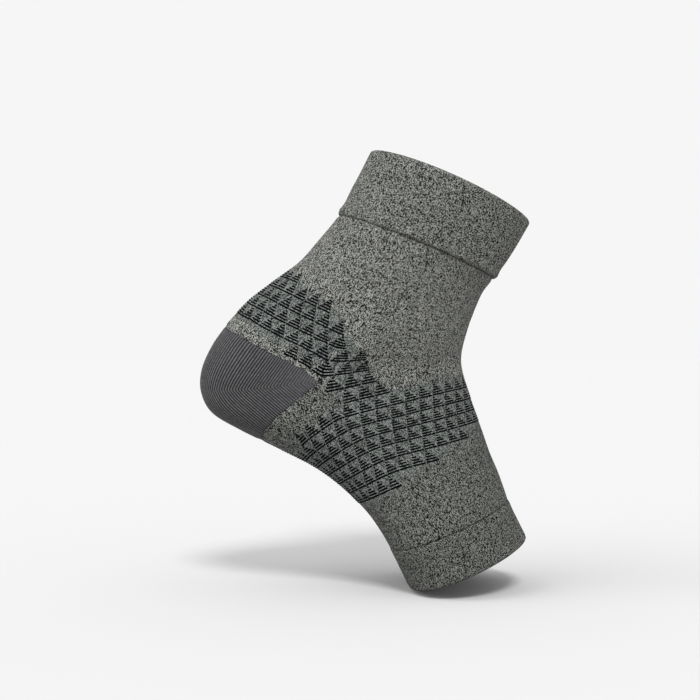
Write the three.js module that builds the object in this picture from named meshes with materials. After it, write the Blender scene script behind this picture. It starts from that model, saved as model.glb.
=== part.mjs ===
// Arch support sleeve: a knitted tube round the ankle, heel and arch, open at the leg and at the toes.
// Millimetres, +Z up, +X towards the toes, +Y across the foot. The sleeve keeps its worn shape, with
// the leg leaning forward and the toe end low, and the origin is where the heel sits in the pocket.
import * as THREE from 'three';
import { LoftGeometry } from 'three/addons/geometries/LoftGeometry.js';

// Reach of the sleeve from the bend of the ankle, seen from the side
const LEG_RISE = 79;
const TOE_DROP = 123;
const HEEL_REACH = 71;
const FRONT_REACH = 80;

// Widths across the foot
const LEG_WIDTH = 67;
const HEEL_WIDTH = 71;
const FOOT_WIDTH = 86;

// Turned cuffs, measured down the side of the sleeve
const ANKLE_CUFF_HEIGHT = 32;
const FOOT_CUFF_HEIGHT = 20;
const TOP_RIM_SWEEP = 1;
const TOE_RIM_SWEEP = 0.4;

// Thickness of the knit
const KNIT_WALL = 1.5;
const BAND_WALL = 1.8;
const HEEL_WALL = 2;
const CUFF_WALL = 2.6;
const CUFF_PROUD = 0.8;
const BAND_PROUD = 0.3;
const RIM_ROUNDING = 0.7;

// Clearance between neighbouring pieces
const SEAM_GAP = 0.3;

// Sections of the sleeve from the leg to the toes. Each is an oval on a line from the back or sole
// to the front. Places are shares: of HEEL_REACH behind the ankle's bend, FRONT_REACH ahead of it,
// LEG_RISE above it and TOE_DROP below it. The width is a share each of the leg's, heel's and
// foot's, and widest is how far from back to front the section is widest.
const SECTIONS = [
  { name: 'top_rim', backX: 0.107, backZ: 0.995, frontX: 1.0, frontZ: 0.585, leg: 1.03, heel: 0, foot: 0, widest: 0.5 },
  { name: 'cuff_middle', backX: 0.015, backZ: 0.814, frontX: 0.905, frontZ: 0.42, leg: 1.01, heel: 0, foot: 0, widest: 0.5 },
  { name: 'cuff_seam', backX: -0.094, backZ: 0.632, frontX: 0.8, frontZ: 0.26, leg: 1.0, heel: 0, foot: 0, widest: 0.5 },
  { name: 'shin', backX: -0.23, backZ: 0.48, frontX: 0.74, frontZ: 0.18, leg: 0.98, heel: 0, foot: 0, widest: 0.5 },
  { name: 'ankle_top', backX: -0.36, backZ: 0.35, frontX: 0.7, frontZ: 0.095, leg: 0.7, heel: 0.3, foot: 0, widest: 0.5 },
  { name: 'ankle_bone', backX: -0.54, backZ: 0.23, frontX: 0.667, frontZ: 0.01, leg: 0.4, heel: 0.59, foot: 0, widest: 0.52 },
  { name: 'achilles', backX: -0.69, backZ: 0.125, frontX: 0.644, frontZ: -0.04, leg: 0.15, heel: 0.85, foot: 0, widest: 0.54 },
  { name: 'heel_top', backX: -0.82, backZ: 0.0, frontX: 0.626, frontZ: -0.082, leg: 0, heel: 1.01, foot: 0, widest: 0.54 },
  { name: 'heel_upper', backX: -0.915, backZ: -0.08, frontX: 0.616, frontZ: -0.116, leg: 0, heel: 1.01, foot: 0, widest: 0.52 },
  { name: 'heel_back', backX: -0.985, backZ: -0.17, frontX: 0.614, frontZ: -0.146, leg: 0, heel: 1.0, foot: 0, widest: 0.5 },
  { name: 'heel_lower', backX: -0.992, backZ: -0.255, frontX: 0.62, frontZ: -0.175, leg: 0, heel: 0.99, foot: 0, widest: 0.48 },
  { name: 'heel_base', backX: -0.92, backZ: -0.335, frontX: 0.632, frontZ: -0.206, leg: 0, heel: 0.97, foot: 0, widest: 0.46 },
  { name: 'heel_pad', backX: -0.736, backZ: -0.399, frontX: 0.65, frontZ: -0.243, leg: 0, heel: 0.8, foot: 0.16, widest: 0.44 },
  { name: 'arch_back', backX: -0.487, backZ: -0.468, frontX: 0.672, frontZ: -0.288, leg: 0, heel: 0.6, foot: 0.33, widest: 0.42 },
  { name: 'arch', backX: -0.25, backZ: -0.5375, frontX: 0.7, frontZ: -0.341, leg: 0, heel: 0.4, foot: 0.5, widest: 0.4 },
  { name: 'arch_front', backX: -0.065, backZ: -0.6165, frontX: 0.736, frontZ: -0.407, leg: 0, heel: 0.2, foot: 0.7, widest: 0.39 },
  { name: 'instep', backX: 0.0625, backZ: -0.694, frontX: 0.776, frontZ: -0.482, leg: 0, heel: 0, foot: 0.9, widest: 0.38 },
  { name: 'ball_back', backX: 0.149, backZ: -0.7715, frontX: 0.827, frontZ: -0.561, leg: 0, heel: 0, foot: 0.94, widest: 0.38 },
  { name: 'foot_seam', backX: 0.207, backZ: -0.8375, frontX: 0.885, frontZ: -0.666, leg: 0, heel: 0, foot: 0.97, widest: 0.38 },
  { name: 'foot_cuff', backX: 0.258, backZ: -0.905, frontX: 0.931, frontZ: -0.73, leg: 0, heel: 0, foot: 0.985, widest: 0.38 },
  { name: 'toe_rim', backX: 0.311, backZ: -0.976, frontX: 0.985, frontZ: -0.8, leg: 0, heel: 0, foot: 1.0, widest: 0.38 },
];
const TOP_RIM = 0;
const TOE_RIM = SECTIONS.length - 1;

// The heel pocket, a wedge of rows let into the back: the sections, counted from the top rim, where
// its two edges lie at each angle round from the back, up to the tip where they meet at the side
const POCKET_EDGES = [
  { angle: 0, top: 7.1, bottom: 12.6 },
  { angle: 30, top: 7.45, bottom: 12.47 },
  { angle: 54, top: 8.15, bottom: 11.95 },
  { angle: 71, top: 8.74, bottom: 11.27 },
  { angle: 80, top: 9.25, bottom: 10.7 },
  { angle: 88, top: 10, bottom: 10 },
];
const TIP_ANGLE = 88;
const TIP_SECTION = 10;
const FRONT_SECTION = 9;
const SEAT_SECTION = 9.6;

// Knit rows are counted from 0 at the ankle cuff to 1 at the pocket's edges and 2 at the foot cuff.
// The support band has an arm round the back of the heel and an arm round instep and arch.
const ARM_UPPER_EDGE = [
  { angle: 0, row: 0.45 },
  { angle: 35, row: 0.475 },
  { angle: 60, row: 0.52 },
  { angle: 77, row: 0.58 },
  { angle: 87, row: 0.635 },
  { angle: 94, row: 0.71 },
  { angle: 106, row: 0.91 },
  { angle: 111, row: 1.02 },
  { angle: 118, row: 1.18 },
];
const ARM_LOWER_EDGE = [
  { angle: 0, row: 0.885 },
  { angle: 50, row: 0.92 },
  { angle: 88, row: 0.945 },
];
const ARCH_BACK_EDGE = [
  { angle: 0, row: 1.135 },
  { angle: 44, row: 1.16 },
  { angle: 94, row: 1.2 },
];
const ARCH_LOWER_EDGE = [
  { angle: 0, row: 1.6 },
  { angle: 80, row: 1.67 },
  { angle: 180, row: 1.62 },
];
const WEDGE_ANGLE = 94;
const FORK_ANGLE = 118;
const ARM_SPLIT_ROW = 1.15;
const ARCH_TOP_ROW = 1.18;

// Facets: angles round from the back where something starts or ends, and the steps up to each
const RELIEF = 1.5;
const ARM_END_ANGLE = 115;
const FRONT_ANGLE = 180;
const MARKS = [
  { angle: TIP_ANGLE - RELIEF, steps: 10 },
  { angle: TIP_ANGLE, steps: 1 },
  { angle: TIP_ANGLE + RELIEF, steps: 1 },
  { angle: WEDGE_ANGLE, steps: 1 },
  { angle: WEDGE_ANGLE + RELIEF, steps: 1 },
  { angle: ARM_END_ANGLE, steps: 3 },
  { angle: FORK_ANGLE, steps: 1 },
  { angle: FRONT_ANGLE, steps: 6 },
];
const SMALL = 0.001;

// Smooth curve through four equally spaced values
function between(before, from, to, after, t) {
  const slope = (to - before) / 2;
  const nextSlope = (after - from) / 2;
  const rise = from - to;
  return ((2 * rise + slope + nextSlope) * t - 3 * rise - 2 * slope - nextSlope) * t * t + slope * t + from;
}

// One column of the section table at any place along the sleeve
function sectionValue(column, place) {
  const first = Math.min(Math.max(Math.floor(place), 0), TOE_RIM - 1);
  const from = SECTIONS[first][column];
  const to = SECTIONS[first + 1][column];
  const before = first > 0 ? SECTIONS[first - 1][column] : 2 * from - to;
  const after = first + 2 <= TOE_RIM ? SECTIONS[first + 2][column] : 2 * to - from;
  return between(before, from, to, after, place - first);
}

// One column of a table that is read by the angle round from the back
function edgeValue(table, column, angle) {
  if (angle >= table[table.length - 1].angle) {
    return table[table.length - 1][column];
  }
  const next = table.findIndex((entry) => entry.angle > angle);
  const share = (angle - table[next - 1].angle) / (table[next].angle - table[next - 1].angle);
  return THREE.MathUtils.lerp(table[next - 1][column], table[next][column], share);
}

function reachX(share) {
  return share < 0 ? share * HEEL_REACH : share * FRONT_REACH;
}

function reachZ(share) {
  return share < 0 ? share * TOE_DROP : share * LEG_RISE;
}

// How far from the back to the front an angle lies, from 0 to 1
function depthShare(angle) {
  return (1 - Math.cos(THREE.MathUtils.degToRad(angle))) / 2;
}

// Point of the sleeve's outer surface. A section that is widest nearer the sole is flat underneath.
function surfacePoint(place, angle) {
  const flatness = Math.log(sectionValue('widest', place)) / Math.log(0.5);
  const share = Math.pow(depthShare(angle), flatness);
  const back = new THREE.Vector3(reachX(sectionValue('backX', place)), 0, reachZ(sectionValue('backZ', place)));
  const front = new THREE.Vector3(reachX(sectionValue('frontX', place)), 0, reachZ(sectionValue('frontZ', place)));
  const width = sectionValue('leg', place) * LEG_WIDTH
    + sectionValue('heel', place) * HEEL_WIDTH
    + sectionValue('foot', place) * FOOT_WIDTH;
  const point = back.lerp(front, share);
  point.y = width / 2 * Math.sin(THREE.MathUtils.degToRad(angle));
  return point;
}

// The outer surface moved straight out by a distance, or in where it is negative
function offsetPoint(place, angle, distance) {
  const angleStep = 0.5;
  const placeStep = 0.05;
  const along = surfacePoint(place + placeStep, angle).sub(surfacePoint(place - placeStep, angle));
  const around = surfacePoint(place, angle + angleStep).sub(surfacePoint(place, angle - angleStep));
  const outward = around.cross(along).normalize();
  return surfacePoint(place, angle).addScaledVector(outward, distance);
}

// The place along the sleeve that lies a length down or up its side from a starting place
function placeAtLength(start, length, direction) {
  const step = 0.01 * direction;
  const side = FRONT_ANGLE / 2;
  let place = start;
  let left = length;
  let stepLength = surfacePoint(place, side).distanceTo(surfacePoint(place + step, side));
  while (left > stepLength) {
    left -= stepLength;
    place += step;
    stepLength = surfacePoint(place, side).distanceTo(surfacePoint(place + step, side));
  }
  return place + step * left / stepLength;
}

const ANKLE_SEAM = placeAtLength(TOP_RIM, ANKLE_CUFF_HEIGHT, 1);
const FOOT_SEAM = placeAtLength(TOE_RIM, FOOT_CUFF_HEIGHT, -1);

// Where the rows of the leg meet those of the foot: at the pocket's edges, and past its tip at one
// line that rises a little towards the front
function pocketEdge(column, angle) {
  if (angle < TIP_ANGLE) {
    return edgeValue(POCKET_EDGES, column, angle);
  }
  const past = (depthShare(angle) - depthShare(TIP_ANGLE)) / (1 - depthShare(TIP_ANGLE));
  return THREE.MathUtils.lerp(TIP_SECTION, FRONT_SECTION, Math.pow(past, 1.5));
}

// The place along the sleeve of a knit row at an angle
function rowPlace(row, angle) {
  const turn = Math.abs(angle);
  if (row <= 1) {
    return THREE.MathUtils.lerp(ANKLE_SEAM, pocketEdge('top', turn), row);
  }
  return THREE.MathUtils.lerp(pocketEdge('bottom', turn), FOOT_SEAM, row - 1);
}

// Angles of the facets from the back round one side to the front
function halfAngles() {
  const angles = [0];
  for (const mark of MARKS) {
    const from = angles[angles.length - 1];
    for (let step = 1; step <= mark.steps; step += 1) {
      angles.push(THREE.MathUtils.lerp(from, mark.angle, step / mark.steps));
    }
  }
  return angles;
}

const HALF = halfAngles();

// Facet angles round both sides, up to a limit on each side
function anglesWithin(limit) {
  const side = HALF.filter((angle) => angle <= limit + SMALL);
  const other = side.filter((angle) => angle > 0 && angle < FRONT_ANGLE).map((angle) => -angle);
  return [...other.reverse(), ...side];
}

// A row edge moved aside by a clearance measured square to the edge, so that slanting edges keep it
function beside(edge, angle, clearance) {
  const turn = Math.abs(angle);
  const at = HALF.findIndex((facet) => Math.abs(facet - turn) < SMALL);
  const before = HALF[Math.max(at - 1, 0)];
  const after = HALF[Math.min(at + 1, HALF.length - 1)];
  const rowStep = 0.01;
  const here = surfacePoint(rowPlace(edge(turn), turn), turn);
  const down = surfacePoint(rowPlace(edge(turn) + rowStep, turn), turn).sub(here);
  const along = surfacePoint(rowPlace(edge(after), after), after)
    .sub(surfacePoint(rowPlace(edge(before), before), before));
  const square = down.length() * Math.sin(down.angleTo(along));
  return edge(turn) + clearance * rowStep / square;
}

// Edges of the pieces as knit rows, by angle
const armUpper = (angle) => edgeValue(ARM_UPPER_EDGE, 'row', angle);
const bandUpper = (angle) => (angle < FORK_ANGLE ? armUpper(angle) : ARCH_TOP_ROW);
const tongueUpper = (angle) => {
  const past = THREE.MathUtils.clamp((angle - TIP_ANGLE) / (WEDGE_ANGLE - TIP_ANGLE), 0, 1);
  return THREE.MathUtils.lerp(1, ARM_SPLIT_ROW, past);
};
const armLower = (angle) => {
  if (angle < TIP_ANGLE + SMALL) {
    return edgeValue(ARM_LOWER_EDGE, 'row', angle);
  }
  return tongueUpper(angle);
};
const tongueLower = (angle) => edgeValue(ARCH_BACK_EDGE, 'row', angle);
const archUpper = (angle) => {
  if (angle < WEDGE_ANGLE + SMALL) {
    return tongueLower(angle);
  }
  return angle < FORK_ANGLE - SMALL ? ARM_SPLIT_ROW : ARCH_TOP_ROW;
};
const archLower = (angle) => edgeValue(ARCH_LOWER_EDGE, 'row', angle);

// A wall's outer and inner points at one angle, from its upper to its lower edge
function wallSection(angle, upper, lower, rows, wall, proud) {
  const outer = [];
  const inner = [];
  for (let step = 0; step <= rows; step += 1) {
    const place = THREE.MathUtils.lerp(upper, lower, step / rows);
    outer.push(offsetPoint(place, angle, proud));
    inner.push(offsetPoint(place, angle, proud - wall));
  }
  return { outer, inner };
}

// A patch of wall between two edges. At each end the outer and inner faces meet on a middle line.
function patchGeometry(limit, upperPlace, lowerPlace, rows, wall, proud) {
  const columns = anglesWithin(limit).map((angle) =>
    wallSection(angle, upperPlace(angle), lowerPlace(angle), rows, wall, proud));
  const sections = columns.map((column) => [...column.inner, ...column.outer.reverse()]);
  return new LoftGeometry([closedEnd(sections[0]), ...sections, closedEnd(sections[sections.length - 1])]);
}

function closedEnd(section) {
  const count = section.length;
  return section.map((point, at) => point.clone().lerp(section[count - 1 - at], 0.5));
}

// A whole ring of wall between two edges: down the outside, back up the inside and onto itself
function ringGeometry(upperPlace, lowerPlace, rows, wall, proud) {
  const columns = anglesWithin(FRONT_ANGLE).map((angle) =>
    wallSection(angle, upperPlace(angle), lowerPlace(angle), rows, wall, proud));
  const rings = [];
  for (let step = 0; step <= rows; step += 1) {
    rings.push(columns.map((column) => column.outer[step]));
  }
  for (let step = rows; step >= 0; step -= 1) {
    rings.push(columns.map((column) => column.inner[step]));
  }
  rings.push(rings[0]);
  return new LoftGeometry(rings);
}

// A turned cuff: its edges are folded over, so they are rounded on both faces
function cuffGeometry(upperPlace, lowerPlace, rows) {
  const columns = anglesWithin(FRONT_ANGLE).map((angle) => {
    const upper = upperPlace(angle);
    const lower = lowerPlace(angle);
    const turn = Math.abs(angle);
    const length = surfacePoint(upper, turn).distanceTo(surfacePoint(lower, turn));
    const fold = (lower - upper) * RIM_ROUNDING / length;
    const outer = [offsetPoint(upper, angle, CUFF_PROUD - RIM_ROUNDING)];
    const inner = [offsetPoint(upper, angle, CUFF_PROUD - CUFF_WALL + RIM_ROUNDING)];
    for (let step = 0; step <= rows; step += 1) {
      const place = THREE.MathUtils.lerp(upper + fold, lower - fold, step / rows);
      outer.push(offsetPoint(place, angle, CUFF_PROUD));
      inner.push(offsetPoint(place, angle, CUFF_PROUD - CUFF_WALL));
    }
    outer.push(offsetPoint(lower, angle, CUFF_PROUD - RIM_ROUNDING));
    inner.push(offsetPoint(lower, angle, CUFF_PROUD - CUFF_WALL + RIM_ROUNDING));
    return { outer, inner };
  });
  const count = columns[0].outer.length;
  const rings = [];
  for (let step = 0; step < count; step += 1) {
    rings.push(columns.map((column) => column.outer[step]));
  }
  for (let step = count - 1; step >= 0; step -= 1) {
    rings.push(columns.map((column) => column.inner[step]));
  }
  rings.push(rings[0]);
  return new LoftGeometry(rings);
}

// A row edge with its clearance, turned into a place along the sleeve
function placeBeside(edge, clearance) {
  return (angle) => rowPlace(beside(edge, angle, clearance), angle);
}

// The pocket's own edges keep the clearance inside the two borders
function pocketPlace(column, clearance) {
  return (angle) => {
    const turn = Math.abs(angle);
    const place = pocketEdge(column, turn);
    const placeStep = 0.01;
    const stepLength = surfacePoint(place, turn).distanceTo(surfacePoint(place + placeStep, turn));
    return place + clearance * placeStep / stepLength;
  };
}

// A rim that stands a little further out at its sides than at its back and front
function rimPlace(rim, sweep, direction) {
  const placeStep = 0.01 * direction;
  const side = FRONT_ANGLE / 2;
  const stepLength = surfacePoint(rim, side).distanceTo(surfacePoint(rim - placeStep, side));
  return (angle) => {
    const share = Math.sin(THREE.MathUtils.degToRad(angle)) ** 2;
    return rim + sweep * share * placeStep / stepLength;
  };
}

const POCKET_END = TIP_ANGLE - RELIEF;
const halfGap = SEAM_GAP / 2;

function ankleCuff() {
  return cuffGeometry(rimPlace(TOP_RIM, TOP_RIM_SWEEP, -1), placeBeside(() => 0, -halfGap), 3);
}

function ankleKnit() {
  return ringGeometry(placeBeside(() => 0, halfGap), placeBeside(bandUpper, -halfGap), 8, KNIT_WALL, 0);
}

function achillesBand() {
  const upper = placeBeside(bandUpper, halfGap);
  const lower = placeBeside(armLower, -halfGap);
  return patchGeometry(ARM_END_ANGLE, upper, lower, 4, BAND_WALL, BAND_PROUD);
}

function upperHeelBorder() {
  const upper = placeBeside(armLower, halfGap);
  const lower = (angle) => pocketPlace('top', -halfGap)(angle);
  return patchGeometry(POCKET_END, upper, lower, 1, KNIT_WALL, 0);
}

function heelPocket() {
  return patchGeometry(POCKET_END, pocketPlace('top', halfGap), pocketPlace('bottom', -halfGap), 8, HEEL_WALL, 0);
}

function lowerHeelBorder() {
  const upper = (angle) => {
    if (Math.abs(angle) > POCKET_END + SMALL) {
      return placeBeside(tongueUpper, halfGap)(angle);
    }
    return pocketPlace('bottom', halfGap)(angle);
  };
  return patchGeometry(WEDGE_ANGLE, upper, placeBeside(tongueLower, -halfGap), 2, KNIT_WALL, 0);
}

function archBand() {
  return ringGeometry(placeBeside(archUpper, halfGap), placeBeside(archLower, -halfGap), 6, BAND_WALL, BAND_PROUD);
}

function footKnit() {
  return ringGeometry(placeBeside(archLower, halfGap), placeBeside(() => 2, -halfGap), 4, KNIT_WALL, 0);
}

function footCuff() {
  return cuffGeometry(placeBeside(() => 2, halfGap), rimPlace(TOE_RIM, TOE_RIM_SWEEP, 1), 2);
}

const HEATHER = new THREE.MeshStandardMaterial({ color: 0x6f716f, roughness: 0.95, metalness: 0 });
const CUFF_HEATHER = new THREE.MeshStandardMaterial({ color: 0x676966, roughness: 0.95, metalness: 0 });
const BAND_YARN = new THREE.MeshStandardMaterial({ color: 0x2b2e30, roughness: 0.9, metalness: 0 });
const HEEL_RIB = new THREE.MeshStandardMaterial({ color: 0x505052, roughness: 0.9, metalness: 0 });

const sleeve = new THREE.Group();

function add(name, geometry, material) {
  const mesh = new THREE.Mesh(geometry, material);
  mesh.name = name;
  sleeve.add(mesh);
}

add('ankle_cuff', ankleCuff(), CUFF_HEATHER);
add('ankle_knit', ankleKnit(), HEATHER);
add('achilles_band', achillesBand(), BAND_YARN);
add('upper_heel_border', upperHeelBorder(), HEATHER);
add('heel_pocket', heelPocket(), HEEL_RIB);
add('lower_heel_border', lowerHeelBorder(), HEATHER);
add('arch_band', archBand(), BAND_YARN);
add('foot_knit', footKnit(), HEATHER);
add('foot_cuff', footCuff(), CUFF_HEATHER);

// The heel seat, on the pocket's inner face at its rearmost point, is the origin
sleeve.position.copy(offsetPoint(SEAT_SECTION, 0, -HEEL_WALL)).negate();

export default sleeve;
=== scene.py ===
"""Arch support sleeve: heather knit tube, ribbed heel pocket, triangle support band and turned cuffs.

Metres, +Z up, +X towards the toes, +Y across the foot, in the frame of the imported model.
"""

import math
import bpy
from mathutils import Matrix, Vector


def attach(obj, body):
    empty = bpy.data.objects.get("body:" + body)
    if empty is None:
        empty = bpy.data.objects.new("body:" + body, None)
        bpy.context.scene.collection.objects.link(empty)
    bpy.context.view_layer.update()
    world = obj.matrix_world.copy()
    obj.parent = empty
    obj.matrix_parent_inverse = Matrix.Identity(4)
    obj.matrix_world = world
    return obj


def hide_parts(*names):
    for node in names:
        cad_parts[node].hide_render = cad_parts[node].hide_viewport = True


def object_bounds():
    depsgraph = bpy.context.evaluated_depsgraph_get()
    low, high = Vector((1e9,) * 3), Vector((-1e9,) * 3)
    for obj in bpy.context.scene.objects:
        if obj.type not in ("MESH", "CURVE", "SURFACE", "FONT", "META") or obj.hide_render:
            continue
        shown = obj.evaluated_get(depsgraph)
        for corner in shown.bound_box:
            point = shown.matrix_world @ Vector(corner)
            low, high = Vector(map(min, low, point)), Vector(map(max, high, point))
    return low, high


bl_info = {
    "name": "Arch Support Sleeve",
    "version": (1, 0, 0),
    "blender": (4, 5, 0),
    "location": "3D View > Sidebar > Sleeve",
    "description": "Builds a knitted arch support sleeve round its packed model",
    "category": "Add Mesh",
}

from functools import partial

import bmesh
import bpy
import numpy as np
from mathutils import Matrix, Vector

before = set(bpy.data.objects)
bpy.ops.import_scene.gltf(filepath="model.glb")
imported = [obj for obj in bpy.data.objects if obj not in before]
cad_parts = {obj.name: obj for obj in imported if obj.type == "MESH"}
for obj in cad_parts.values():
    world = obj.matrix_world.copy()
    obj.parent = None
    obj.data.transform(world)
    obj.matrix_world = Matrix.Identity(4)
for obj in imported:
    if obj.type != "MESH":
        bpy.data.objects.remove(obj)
CAD_BOX = [list(corner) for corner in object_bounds()]

# Sections from the leg to the toes, as shares of the reaches and widths: place of the back or sole,
# place of the front, widths of leg, heel and foot, and how far from back to front it is widest
SECTION_COLUMNS = ("back_x", "back_z", "front_x", "front_z", "leg", "heel", "foot", "widest")
SECTIONS = (
    ("top_rim", 0.107, 0.995, 1.0, 0.585, 1.03, 0, 0, 0.5),
    ("cuff_middle", 0.015, 0.814, 0.905, 0.42, 1.01, 0, 0, 0.5),
    ("cuff_seam", -0.094, 0.632, 0.8, 0.26, 1.0, 0, 0, 0.5),
    ("shin", -0.23, 0.48, 0.74, 0.18, 0.98, 0, 0, 0.5),
    ("ankle_top", -0.36, 0.35, 0.7, 0.095, 0.7, 0.3, 0, 0.5),
    ("ankle_bone", -0.54, 0.23, 0.667, 0.01, 0.4, 0.59, 0, 0.52),
    ("achilles", -0.69, 0.125, 0.644, -0.04, 0.15, 0.85, 0, 0.54),
    ("heel_top", -0.82, 0.0, 0.626, -0.082, 0, 1.01, 0, 0.54),
    ("heel_upper", -0.915, -0.08, 0.616, -0.116, 0, 1.01, 0, 0.52),
    ("heel_back", -0.985, -0.17, 0.614, -0.146, 0, 1.0, 0, 0.5),
    ("heel_lower", -0.992, -0.255, 0.62, -0.175, 0, 0.99, 0, 0.48),
    ("heel_base", -0.92, -0.335, 0.632, -0.206, 0, 0.97, 0, 0.46),
    ("heel_pad", -0.736, -0.399, 0.65, -0.243, 0, 0.8, 0.16, 0.44),
    ("arch_back", -0.487, -0.468, 0.672, -0.288, 0, 0.6, 0.33, 0.42),
    ("arch", -0.25, -0.5375, 0.7, -0.341, 0, 0.4, 0.5, 0.4),
    ("arch_front", -0.065, -0.6165, 0.736, -0.407, 0, 0.2, 0.7, 0.39),
    ("instep", 0.0625, -0.694, 0.776, -0.482, 0, 0, 0.9, 0.38),
    ("ball_back", 0.149, -0.7715, 0.827, -0.561, 0, 0, 0.94, 0.38),
    ("foot_seam", 0.207, -0.8375, 0.885, -0.666, 0, 0, 0.97, 0.38),
    ("foot_cuff", 0.258, -0.905, 0.931, -0.73, 0, 0, 0.985, 0.38),
    ("toe_rim", 0.311, -0.976, 0.985, -0.8, 0, 0, 1.0, 0.38),
)

# Sections of the two rims, the pocket's tip, the front where leg and foot meet, and the seat
TOP_RIM = 0
TOE_RIM = len(SECTIONS) - 1
TIP_SECTION = 10
FRONT_SECTION = 9
SEAT_SECTION = 9.6

# Angles round from the back, in degrees, with the sections of the pocket's two edges there
HALF_TURN = 180
TIP_ANGLE = 88
WEDGE_ANGLE = 94
FORK_ANGLE = 118
POCKET_ANGLES = (0, 30, 54, 71, 80, 88)
POCKET_TOP = (7.1, 7.45, 8.15, 8.74, 9.25, 10)
POCKET_BOTTOM = (12.6, 12.47, 11.95, 11.27, 10.7, 10)

# Knit rows of the band's edges, counted from 0 at the ankle cuff to 1 at the pocket and 2 at the
# foot cuff, by the angle round from the back
ARM_UPPER = (
    (0, 35, 60, 77, 87, 94, 106, 111, 118),
    (0.45, 0.475, 0.52, 0.58, 0.635, 0.71, 0.91, 1.02, 1.18),
)
ARM_LOWER = ((0, 50, 88), (0.885, 0.92, 0.945))
ARCH_BACK = ((0, 44, 94), (1.135, 1.16, 1.2))
ARCH_LOWER = ((0, 80, 180), (1.6, 1.67, 1.62))
ARM_SPLIT_ROW = 1.15
ARCH_TOP_ROW = 1.18
# Rows up to 1 are laid on the leg's side of the pocket, so the foot's side starts just past 1
FIRST_FOOT_ROW = 1.0001

# Small steps along the surface, in sections and degrees, over which its slopes are measured
PLACE_STEP = 0.05
ANGLE_STEP = 0.5
RIM_STEP = 0.01

# How many sections away the seams and the pocket are looked for
FARTHEST_SEAM = 6
FARTHEST_POCKET = 11

# Rows and columns of stitches: the steps they are worked out in, how rows bend round the pocket's tip
# and soon forget it, and how much each row evens out the columns
ROW_STEPS = 101
FRONT_ROW_SECTION = 8.4
JOIN_BEND = 1.5
TIP_SMOOTHING = 51
TIP_FOLLOWING = 5
WALE_EVENING = 0.12
HALVINGS = 14

# Width of the dip beside a seam, in rows, and the rows counted in the knit of leg or foot
SEAM_DIP_ROWS = 1.6
ROWS_IN_KNIT = 120

# Outline of a turned cuff: steps round a fold and down the side, and the roll and crease over the
# lower edge, with their heights and widths in radii of the fold
FOLD_STEPS = 7
SIDE_STEPS = 22
INSIDE_STRIDE = 4
CUFF_COLUMNS = 240
ROLL_HEIGHT = 2.2
ROLL_WIDTH = 1.1
CREASE_SHARE = 0.4
CREASE_HEIGHT = 5.5
CREASE_WIDTH = 2
CUFF_STITCH_HEIGHT = 0.0006

# Ribs of the heel: their slopes at its sides, above and below the gore line, and the angles between
# which they turn to run from edge to edge behind it, all in degrees
UPPER_RIB_SLOPE = 54
LOWER_RIB_SLOPE = -41
RIBS_TURN_FROM = 44
RIBS_TURN_TO = 66
RIB_STEPS = 300

# Rows of stitches down the pocket, and the dip along its edges with its width in sections
POCKET_COURSES = 65
POCKET_EDGE_DIP = 0.0003
POCKET_EDGE_WIDTH = 0.06

# A triangle is knit as bars, one every two courses from its point down, with these lengths in wales
BAR_LENGTHS = (1.4, 3.4, 5.6, 7.6, 9.3)
BAR_COURSES = 1.5
BAR_MIDDLE = 0.3
COURSES_TO_BAR = 2
COURSES_IN_TRIANGLE = COURSES_TO_BAR * len(BAR_LENGTHS)
FIRST_TRIANGLE_COURSE = 52
TRIANGLE_ROWS = 16
BAR_SINK = 0.00006
BAR_WALL = 0.00012
# How far a triangle's middle may lie past the band's upper edge or has to stay off its lower one,
# in sections
PAST_UPPER_EDGE = 0.1
OFF_LOWER_EDGE = 0.15

# Finish of the knits: shade, slant and groove of their stitches, and depth of their bumps in metres
UV_NAME = "Stitches"
WHITE_SHADE = (1, 1, 1)
PLAIN_STITCH = (1.3, 0.5)
CUFF_STITCH = (0.7, 1.0)
BAND_CONTRAST = 0.6
KNIT_BUMP = 0.00016
RIB_BUMP = 0.00008
BAR_BUMP = 0.00012
STITCHES_ON_RIB = 1.4
# What a fibre's colour comes from: its leg of the stitch, its stitch, and streaks along the row
LEG_SHARE = 0.86
STITCH_SHARE = 0.06
STREAK_SHARE = 0.08
STREAK_STRETCH = 0.3
FIBRE_STOPS = (0.32, 0.46, 0.54, 0.68)
# The painted shade line in a groove of the heel: how sharp it is, and the shares of the ribs between which
# it fades
GROOVE_SHARPNESS = 2.5
GROOVE_FADES_FROM = 0.25
GROOVE_FADES_TO = 0.45
FADED_GROOVE = 0.58

# The floor lies just under the toe rim
FLOOR_GAP = 0.0005


def metres(name, description, default):
    """A length in the panel"""
    return bpy.props.FloatProperty(name=name, description=description, default=default, unit="LENGTH")


def count(name, description, default):
    """A whole number in the panel"""
    return bpy.props.IntProperty(name=name, description=description, default=default)


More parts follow.
